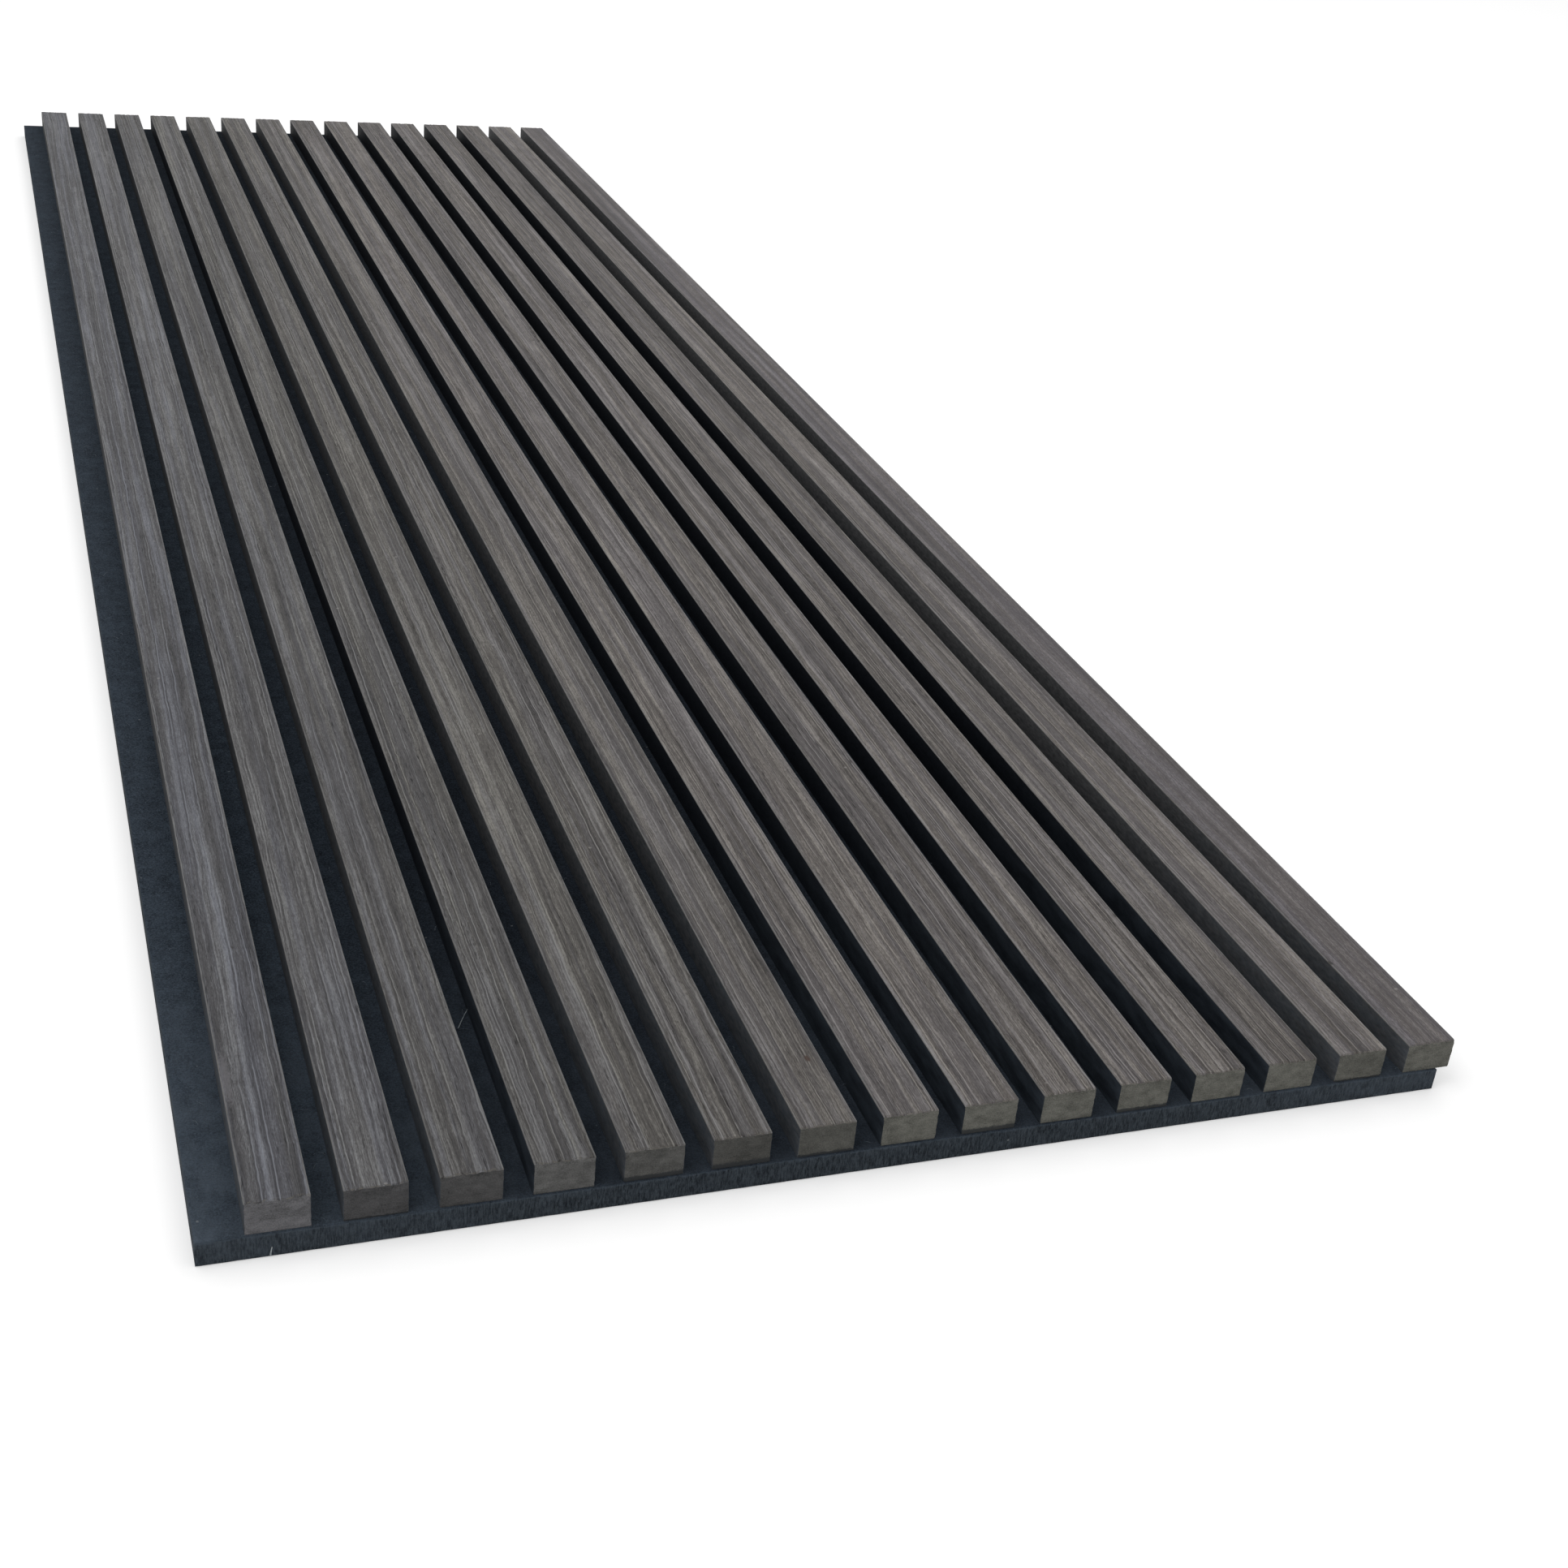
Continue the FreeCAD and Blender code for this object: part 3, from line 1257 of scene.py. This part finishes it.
@dataclass
class Slat:
    """One slat: a fibreboard lath with a veneer on its face."""

    number: int
    count: int
    arris_reach: float = 0.55
    arris_drop: float = 0.42
    column: float = 0.62
    break_depth: float = 2.3
    break_fade: float = 9.0
    core_share: float = 0.35
    crumble_drop: float = 2.4
    end_steps: tuple[float, ...] = (0.2, 0.5, 0.9, 1.4, 2.1, 3.0, 4.2, 5.8, 8.0, 12.0)
    nick_count: int = 9
    core: Span = field(init=False)
    veneer: Span = field(init=False)

    def __post_init__(self) -> None:
        """Read the slat's place from the frame."""
        self.core = Span.of(self.core_node)
        self.veneer = Span.of(self.veneer_node)

    @property
    def core_node(self) -> str:
        """Name of the lath's node."""
        return f"slat_core_{self.number:02d}"

    @property
    def veneer_node(self) -> str:
        """Name of the veneer's node."""
        return f"slat_veneer_{self.number:02d}"

    @property
    def dye(self) -> DyeDepth:
        """How deep this lath is dyed: the laths come from several boards."""
        if self.number in (2, 3, 6):
            return DyeDepth.DEEP
        if self.number in (5, 7):
            return DyeDepth.MIDDLE
        return DyeDepth.FADED if self.number in (4, 14) else DyeDepth.PALE

    @property
    def paint(self) -> SidePaint:
        """Which paint this lath's long sides have."""
        if self.number in (4, 8, 9, 10, 11, 12, 13):
            return SidePaint.BLACK
        return SidePaint.PALE_GREY if self.number in (14, 15) else SidePaint.WORN_GREY

    @property
    def foot_shade_mm(self) -> float:
        """How high the painted shade at the foot of this lath's sawn end is, in millimetres; most laths have none."""
        return {2: 0.7, 5: 2.2, 6: 2.4, 7: 1.1, 9: 2.3, 11: 1.6, 14: 0.8}.get(self.number, 0.0)

    @property
    def leaf(self) -> Leaf:
        """Which leaf of the log this veneer is."""
        if self.number in (8, 9, 11, 14):
            return Leaf.PALE
        return Leaf.DARK if self.number in (3, 4, 6, 13, 15) else Leaf.USUAL

    @property
    def figure(self) -> Figure:
        """How lively this veneer's grain is: the last two sheets are calmer than the rest."""
        if self.number in (4, 6, 10, 12):
            return Figure.BOLD
        return {self.count: Figure.CALM, self.count - 1: Figure.STEADY}.get(self.number, Figure.LIVELY)

    @property
    def marks(self) -> tuple[Mark, ...]:
        """Give the spots and rubbed places that single veneers have."""
        if self.number == 1:
            dot = Mark((-263.2, -807.0), (0.9, 1.3), (52.0, 50.0, 50.0))
            rub = Mark((-277.8, -912.0), (2.6, 24.0), (122.0, 120.0, 124.0), 0.35)
            return (dot, rub)
        if self.number == 7:
            return (Mark((-19.5, -949.0), (1.3, 3.4), (62.0, 46.0, 38.0)),)
        if self.number == 12:
            return (Mark((186.3, -858.0), (1.1, 2.6), (58.0, 54.0, 52.0)),)
        if self.number == 15:
            return (Mark((280.6, -922.6), (1.4, 2.4), (46.0, 44.0, 44.0)),)
        return ()

    def seed(self, purpose: int) -> int:
        """Give this slat its own seed for one purpose."""
        return 1000 * purpose + self.number

    def breakout(self, x: np.ndarray, end: int) -> np.ndarray:
        """How far the saw broke the top edge of the slat back from its cut end.

        Args:
            x: Where across the slat, in millimetres.
            end: 0 for the near end, 1 for the far one.

        Returns:
            The depth at each place.
        """
        rng = np.random.default_rng(self.seed(2 + end))
        turns = self.core.low[0] - 1.0 + np.cumsum(rng.uniform(0.3, 2.6, 30))
        splinters = np.interp(x, turns, rng.uniform(0.0, 1.0, len(turns)) ** 2.2)
        torn = 0.08 + 0.68 * splinters + 0.3 * np.clip(wave(self.seed(4 + end), x, 16.0, 3), 0.0, None)
        for _ in range(rng.integers(1, 4)):
            middle = rng.uniform(self.core.low[0] + 1.0, self.core.high[0] - 1.0)
            half = rng.uniform(0.7, 2.1)
            chip = rng.uniform(0.35, 0.95) * np.clip(1.0 - np.abs((x - middle) / half) ** 3, 0.0, None)
            torn = np.maximum(torn, chip)
        return self.break_depth * np.clip(torn, 0.0, 1.0)

    def ends(self, y: np.ndarray) -> list[tuple[int, np.ndarray, float]]:
        """Give both ends as seen from each place.

        Args:
            y: Where along the slat.

        Returns:
            The end's number, the distance from it, and the direction from it into the slat.
        """
        return [(0, y - self.core.low[1], 1.0), (1, self.core.high[1] - y, -1.0)]

    def saw_ends(self, shell: Shell) -> None:
        """Crumble both ends of a skin, so that the lath and its veneer still meet edge to edge.

        Args:
            shell: The skin to shape.
        """
        low, high = self.core.low, self.core.high
        x, y, z = shell.grid.T
        level = np.minimum(z, high[2])
        for end, distance, sign in self.ends(y):
            near = np.clip(1.0 - distance / self.break_fade, 0.0, None) ** 2
            grit = 0.06 * wave(self.seed(14 + end), x + 2.3 * level, 3.1, 5) + 0.08
            fade = np.clip(1.0 - (high[2] - level) / self.crumble_drop, 0.0, None) ** 1.5
            recess = self.core_share * self.breakout(x, end) * fade
            shell.points[:, 1] += sign * (grit + recess) * near
            for across, inward in ((x - low[0], 1.0), (high[0] - x, -1.0)):
                reach = 0.58 + 0.5 * wave(self.seed(16 + end), level + 40.0 * inward, 6.0, 4)
                eased, back = rounded(across, distance, reach, 0.8 * reach)
                shell.points[:, 0] += inward * (eased - across)
                shell.points[:, 1] += sign * (back - distance)

    def nicks(self, side: int) -> list[tuple[float, float, float]]:
        """Choose the small knocks on one long arris.

        Args:
            side: 0 for the left arris, 1 for the right one.

        Returns:
            Place, half length and depth of each, in millimetres.
        """
        rng = np.random.default_rng(self.seed(6 + side))
        low, high = self.veneer.low[1] + 15.0, self.veneer.high[1] - 15.0
        found = [
            (float(rng.uniform(low, high)), float(rng.uniform(1.2, 4.5)), float(rng.uniform(0.2, 0.75)))
            for _ in range(self.nick_count)
        ]
        if (self.number, side) == (15, 0):
            found.append((-922.6, 2.4, 1.9))
        if (self.number, side) == (12, 1):
            found.append((-858.0, 3.0, 1.6))
        return found

    def stations(self) -> np.ndarray:
        """Grid lines along the veneer: close at the ends and at each knock.

        Returns:
            The lines, in millimetres.
        """
        low, high = self.veneer.low[1], self.veneer.high[1]
        lines = set(np.round(spread(low, high, self.end_steps, 16.0), 3).tolist())
        for side in (0, 1):
            for place, half, _ in self.nicks(side):
                for share in (-1.0, -0.55, 0.0, 0.55, 1.0):
                    lines.add(round(place + share * half, 3))
        ordered = sorted(lines)
        kept = [ordered[0]]
        for line in ordered[1:]:
            if line - kept[-1] > 0.15:
                kept.append(line)
        kept[-1] = high
        return np.array(kept)

    def arris(self, y: np.ndarray, side: int) -> np.ndarray:
        """How wide the sanded arris is along the slat, knocks included.

        Args:
            y: Where along the slat.
            side: 0 for the left arris, 1 for the right one.

        Returns:
            The width at each place.
        """
        width = self.arris_reach * (1.0 + 0.35 * wave(self.seed(8 + side), y, 95.0, 5))
        for place, half, depth in self.nicks(side):
            width = np.maximum(width, self.arris_reach + depth * np.clip(1.0 - ((y - place) / half) ** 2, 0.0, None))
        return width

    def veneer_shell(self) -> Shell:
        """Build the veneer's skin.

        Returns:
            The skin, with rounded arrises and broken ends.
        """
        low, high = self.veneer.low, self.veneer.high
        thickness = high[2] - low[2]
        zs = np.array([low[2], low[2] + 0.45 * thickness, low[2] + 0.75 * thickness, high[2]])
        shell = Shell(self.columns(), self.stations(), zs, end_rows=len(self.end_steps))
        x, y, z = shell.grid.T
        down = high[2] - z
        for side, distance, sign in ((0, x - low[0], 1.0), (1, high[0] - x, -1.0)):
            width = self.arris(y, side)
            bent, sunk = rounded(distance, down, width, np.full_like(x, min(self.arris_drop, 0.9 * thickness)))
            shell.points[:, 0] += sign * (bent - distance)
            shell.points[:, 2] -= sunk - down
        self.saw_ends(shell)
        rise = np.clip((z - low[2]) / thickness, 0.0, 1.0) ** 0.8
        for end, distance, sign in self.ends(y):
            near = np.clip(1.0 - distance / self.break_fade, 0.0, None) ** 2
            shell.points[:, 1] += sign * (1.0 - self.core_share) * self.breakout(x, end) * rise * near
        return shell

    def columns(self) -> np.ndarray:
        """Give the grid lines across, which the lath and the veneer share."""
        return spread(self.core.low[0], self.core.high[0], (0.16, 0.36, 0.6, 0.9, 1.3), self.column)

    def core_shell(self) -> Shell:
        """Build the lath's skin.

        Returns:
            The skin, with crumbled sawn ends.
        """
        low, high = self.core.low, self.core.high
        ys = spread(low[1], high[1], self.end_steps, 60.0)
        zs = spread(low[2], high[2], (0.3, 0.8, 1.6), 1.6)
        shell = Shell(self.columns(), ys, zs, end_rows=len(self.end_steps))
        self.saw_ends(shell)
        return shell

    def build(self, effects: Effects) -> None:
        """Build and dress both pieces of the slat.

        Args:
            effects: The shared node groups.
        """
        across = (self.number - 1) / (self.count - 1)
        finish = VeneerFinish(
            number=self.number,
            centre_x_mm=0.5 * (self.veneer.low[0] + self.veneer.high[0]),
            half_width_mm=0.5 * (self.veneer.high[0] - self.veneer.low[0]),
            face_z_mm=self.veneer.high[2],
            tone=(1.03 + 0.06 * across) * self.leaf.value,
            across=across,
            figure=self.figure,
            marks=self.marks,
        )
        bare = CoreFinish(
            number=self.number,
            base_z_mm=self.core.low[2],
            thickness_mm=self.core.high[2] - self.core.low[2],
            dye=self.dye,
            paint=self.paint,
            across=across,
            near_y_mm=self.core.low[1],
            foot_shade_mm=self.foot_shade_mm,
        )
        inner_low, inner_high = self.core.low[1] + 0.1, self.core.high[1] - 0.1
        veneer_mesh = self.veneer_shell().mesh(
            f"veneer_sheet_{self.number:02d}",
            lambda middle: (middle[:, 2] > self.veneer.low[2] + 0.05) & (middle[:, 1] > inner_low) & (middle[:, 1] < inner_high),
        )
        core_mesh = self.core_shell().mesh(
            f"core_lath_{self.number:02d}",
            lambda middle: np.zeros(len(middle), bool),
        )
        show(f"veneer_sheet_{self.number:02d}", veneer_mesh, finish.material(effects), self.veneer_node)
        show(f"core_lath_{self.number:02d}", core_mesh, bare.material(effects), self.core_node)


@dataclass
class FeltBoard:
    """The needled felt board, with its soft skin and its loose fibres."""

    node: str = "felt_backing"
    edge_round: float = 0.8
    undulation: float = 0.12
    board: Span = field(init=False)

    def __post_init__(self) -> None:
        """Read the board's place from the frame."""
        self.board = Span.of(self.node)

    def shell(self) -> Shell:
        """Build the felt's skin.

        Returns:
            The skin, with rounded edges and a faintly uneven face.
        """
        low, high = self.board.low, self.board.high
        xs = spread(low[0], high[0], [0.2, 0.5, 0.9, 1.8], 5.0)
        ys = spread(low[1], high[1], [0.2, 0.5, 0.9, 1.8, 3.5], 8.0)
        zs = spread(low[2], high[2], [0.2, 0.5, 0.9], 1.6)
        shell = Shell(xs, ys, zs)
        x, y, z = shell.grid.T
        across = np.minimum(x - low[0], high[0] - x)
        along = np.minimum(y - low[1], high[1] - y)
        down = high[2] - z
        radius = np.full_like(x, self.edge_round)
        eased_x, lowered = rounded(across, down, radius, radius)
        eased_y, lowered_end = rounded(along, down, radius, radius)
        side_x = np.where(x - low[0] < high[0] - x, 1.0, -1.0)
        side_y = np.where(y - low[1] < high[1] - y, 1.0, -1.0)
        shell.points[:, 0] += side_x * (eased_x - across)
        shell.points[:, 1] += side_y * (eased_y - along)
        shell.points[:, 2] -= np.maximum(lowered, lowered_end) - down
        dent = self.undulation * 0.5 * (wave(21, x + 0.7 * y, 23.0, 5) + wave(22, y - 0.4 * x, 17.0, 5) - 2.0)
        shell.points[:, 2] += np.where(z > high[2] - 0.01, 0.5 * dent, 0.0)
        bulge = 0.10 * (wave(23, x * 1.3 + z, 9.0, 5) - 1.0)
        shell.points[:, 1] -= np.where(along < 0.01, side_y * bulge, 0.0)
        return shell

    def build(self, effects: Effects) -> None:
        """Build and dress the felt.

        Args:
            effects: The shared node groups.
        """
        low, high = self.board.low, self.board.high
        finish = FeltFinish(high[1], high[0], high[2] - low[2]).material(effects)
        mesh = self.shell().mesh("felt_board", lambda middle: middle[:, 2] > low[2] + 0.01)
        show("felt_board", mesh, finish, self.node)


@dataclass(frozen=True)
class FibreFinish:
    """Dull polyester fibre, mottled between a dark and a pale colour on a screen."""

    name: str
    dark: tuple[float, float, float]
    pale: tuple[float, float, float]

    def material(self, effects: Effects) -> bpy.types.Material:
        """Build the material.

        Args:
            effects: The shared node groups.

        Returns:
            The fibre's material.
        """
        dressed = Dressed(self.name, specular=0.1)
        graph = dressed.graph
        mat = effects.mat.place(
            graph,
            Position=dressed.position,
            Blotches=1.6,
            Threads=0.3,
            Dark=rgba(*self.dark),
            Pale=rgba(*self.pale),
        )
        return dressed.finish(mat["Colour"], 0.85, mat["Height"], depth_mm=0.02)


@dataclass(frozen=True)
class Fibre:
    """One loose fibre: where it starts, where it points and how it bends, in millimetres."""

    root: tuple[float, float, float]
    heading: float
    climb: float
    length: float
    bend: float
    thickness: float
    rise: float = 0.0

    def spine(self, steps: int) -> np.ndarray:
        """Trace the fibre.

        Args:
            steps: How many straight bits it has.

        Returns:
            Its points, from root to tip.
        """
        share = np.linspace(0.0, 1.0, steps + 1)
        angle = math.radians(self.heading) + self.bend * share
        along = self.length * share
        x = self.root[0] + along * np.cos(angle)
        y = self.root[1] + along * np.sin(angle)
        z = self.root[2] + self.rise * share + self.climb * np.sin(math.pi * (0.08 + 0.85 * share))
        return np.stack([x, y, z], axis=1)


@dataclass
class LooseFibres:
    """Fibres that the needling left loose on the felt, with a hair and a bit of lint."""

    count: int = 420
    steps: int = 5
    sides: int = 4
    near_bias: float = 1.3
    hair: Fibre = Fibre((-167.0, -871.5, 12.0), 64.0, 0.3, 17.5, -0.05, 0.46, 1.6)
    lint: Fibre = Fibre((-270.0, -1000.1, 0.7), -60.0, 0.0, 0.8, 0.5, 0.8, 4.4)
    dull: FibreFinish = FibreFinish("loose_fibre", (72.0, 84.0, 98.0), (142.0, 149.0, 154.0))
    bright: FibreFinish = FibreFinish("pale_lint", (128.0, 138.0, 144.0), (190.0, 194.0, 196.0))

    def scattered(self) -> list[Fibre]:
        """Scatter fibres over the bare felt, more of them towards the near end.

        Returns:
            The fibres.
        """
        rng = np.random.default_rng(31)
        board = Span.of("felt_backing")
        laths = sorted(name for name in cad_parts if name.startswith("slat_core_"))
        # No fibre hangs over the board's own edge.
        edges = [board.low[0] + 5.0]
        for lath in laths:
            span = Span.of(lath)
            edges += [span.low[0], span.high[0]]
        strips = [(left + 1.0, right - 1.0) for left, right in zip(edges[0::2], edges[1::2])]
        made = []
        for _ in range(self.count):
            left, right = strips[int(rng.integers(0, len(strips)))]
            along = rng.uniform(0.0, 1.0) ** self.near_bias
            place = (rng.uniform(left, right), board.low[1] + 4.0 + along * (board.high[1] - board.low[1] - 8.0))
            made.append(Fibre(
                root=(place[0], place[1], board.high[2] - 0.1),
                heading=rng.uniform(0.0, 360.0),
                climb=rng.uniform(0.3, 1.6),
                length=rng.uniform(1.5, 6.0),
                bend=rng.uniform(-0.7, 0.7),
                thickness=rng.uniform(0.12, 0.22),
            ))
        return made

    def build(self, effects: Effects) -> None:
        """Build and dress the felt's own fibres, and the hair and lint that fell on it.

        Args:
            effects: The shared node groups.
        """
        self.lay("loose_fibres", self.scattered(), self.dull, effects)
        self.lay("pale_lint", [self.hair, self.lint], self.bright, effects)

    def lay(self, name: str, fibres: Sequence[Fibre], finish: FibreFinish, effects: Effects) -> None:
        """Make one piece of closed threads.

        Args:
            name: The piece's name.
            fibres: Its fibres.
            finish: Their finish.
            effects: The shared node groups.
        """
        points: list[list[float]] = []
        faces: list[list[int]] = []
        for fibre in fibres:
            self.add_thread(fibre, points, faces)
        mesh = bpy.data.meshes.new(name)
        mesh.from_pydata((np.array(points) * MM).tolist(), [], faces)
        mesh.update()
        show(name, mesh, finish.material(effects), None)

    def add_thread(self, fibre: Fibre, points: list[list[float]], faces: list[list[int]]) -> None:
        """Add one fibre's skin, thin at its tip.

        Args:
            fibre: The fibre.
            points: The points so far, which it adds to.
            faces: The faces so far, which it adds to.
        """
        spine = fibre.spine(self.steps)
        first = len(points)
        for row, place in enumerate(spine):
            ahead = spine[min(row + 1, self.steps)] - spine[max(row - 1, 0)]
            ahead /= np.linalg.norm(ahead)
            side = np.cross(ahead, (0.3, 0.2, 0.93))
            side /= np.linalg.norm(side)
            up = np.cross(side, ahead)
            radius = 0.5 * fibre.thickness * (1.0 - 0.6 * row / self.steps)
            for corner in range(self.sides):
                turn = 2.0 * math.pi * corner / self.sides
                points.append(list(place + radius * (math.cos(turn) * side + math.sin(turn) * up)))
        for row in range(self.steps):
            for corner in range(self.sides):
                a = first + row * self.sides + corner
                b = first + row * self.sides + (corner + 1) % self.sides
                faces.append([a, b, b + self.sides, a + self.sides])
        last = first + self.steps * self.sides
        faces.append([first + corner for corner in reversed(range(self.sides))])
        faces.append([last + corner for corner in range(self.sides)])


@dataclass
class Studio:
    """Floor, light and camera."""

    floor_radius: float = 14.0
    floor_drop: float = 0.0004
    camera_place: tuple[float, float, float] = (-0.3431, -1.7052, 0.6073)
    camera_azimuth: float = 23.10
    camera_elevation: float = -29.11
    camera_roll: float = 6.81
    camera_lens: float = 49.37
    camera_shift: tuple[float, float] = (-0.0308, 0.0308)

    def floor(self) -> None:
        """Lay the pale floor under the panel."""
        corners = []
        steps = 96
        for step in range(steps):
            angle = 2.0 * math.pi * step / steps
            corners.append((self.floor_radius * math.cos(angle), self.floor_radius * math.sin(angle), -self.floor_drop))
        mesh = bpy.data.meshes.new("floor")
        mesh.from_pydata(corners, [], [list(range(steps))])
        mesh.materials.append(FloorFinish().material())
        floor = bpy.data.objects.new("floor", mesh)
        bpy.context.scene.collection.objects.link(floor)

    def world(self, strength: float = 0.62) -> None:
        """Light the scene from all round, with white where the camera or a gloss sees past the floor.

        Args:
            strength: Strength of the light that reaches the object.
        """
        world = bpy.data.worlds.new("studio")
        bpy.context.scene.world = world
        world.use_nodes = True
        world.node_tree.nodes.clear()
        graph = Graph(world.node_tree)
        path = graph.node("ShaderNodeLightPath")
        seen = graph.math(Op.MAXIMUM, path.outputs["Is Camera Ray"], path.outputs["Is Glossy Ray"])
        seen = graph.math(Op.MAXIMUM, seen, path.outputs["Is Transmission Ray"])
        background = graph.node("ShaderNodeBackground")
        background.inputs["Color"].default_value = (1.0, 1.0, 1.0, 1.0)
        graph.feed(background.inputs["Strength"], graph.step(seen, 0.0, 1.0, strength, 1.0))
        output = graph.node("ShaderNodeOutputWorld")
        graph.feed(output.inputs["Surface"], background.outputs[0])

    def lamp(self, name: str, place: tuple[float, float, float], size: float, watts: float) -> None:
        """Hang a soft square lamp that points at the middle of the panel.

        Args:
            name: The lamp's name.
            place: Where it hangs, in metres.
            size: Its side, in metres.
            watts: Its power.
        """
        data = bpy.data.lights.new(name, "AREA")
        data.shape = "SQUARE"
        data.size = size
        data.energy = watts
        lamp = bpy.data.objects.new(name, data)
        lamp.location = place
        lamp.rotation_euler = (-Vector(place)).to_track_quat("-Z", "Y").to_euler()
        bpy.context.scene.collection.objects.link(lamp)

    def camera(self) -> None:
        """Set the camera at the photograph's place and angle."""
        data = bpy.data.cameras.new("camera")
        data.sensor_width = 36.0
        data.lens = self.camera_lens
        data.shift_x, data.shift_y = self.camera_shift
        data.clip_start = 0.01
        data.clip_end = 100.0
        camera = bpy.data.objects.new("camera", data)
        turn = Matrix.Rotation(math.radians(-self.camera_azimuth), 4, "Z")
        tilt = Matrix.Rotation(math.radians(90.0 + self.camera_elevation), 4, "X")
        roll = Matrix.Rotation(math.radians(self.camera_roll), 4, "Z")
        camera.matrix_world = Matrix.Translation(self.camera_place) @ turn @ tilt @ roll
        bpy.context.scene.collection.objects.link(camera)
        bpy.context.scene.camera = camera

    def build(self) -> None:
        """Build the floor, the lights and the camera."""
        self.camera()
        self.floor()
        self.world()
        self.lamp("key_lamp", (-2.2, -1.0, 4.2), 3.0, 52.0)
        self.lamp("fill_lamp", (2.6, 1.6, 3.8), 3.0, 26.0)
        bpy.context.scene.view_settings.view_transform = "Standard"


def main() -> None:
    """Build the panel and its studio, and log each piece's face count."""
    logging.basicConfig(level=logging.INFO, format="%(name)s: %(message)s")
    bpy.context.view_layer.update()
    Studio().build()
    effects = Effects.build()
    FeltBoard().build(effects)
    LooseFibres().build(effects)
    slats = sorted(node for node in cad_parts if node.startswith("slat_core_"))
    for number in range(1, len(slats) + 1):
        Slat(number, len(slats)).build(effects)


if __name__ == "__main__":
    main()
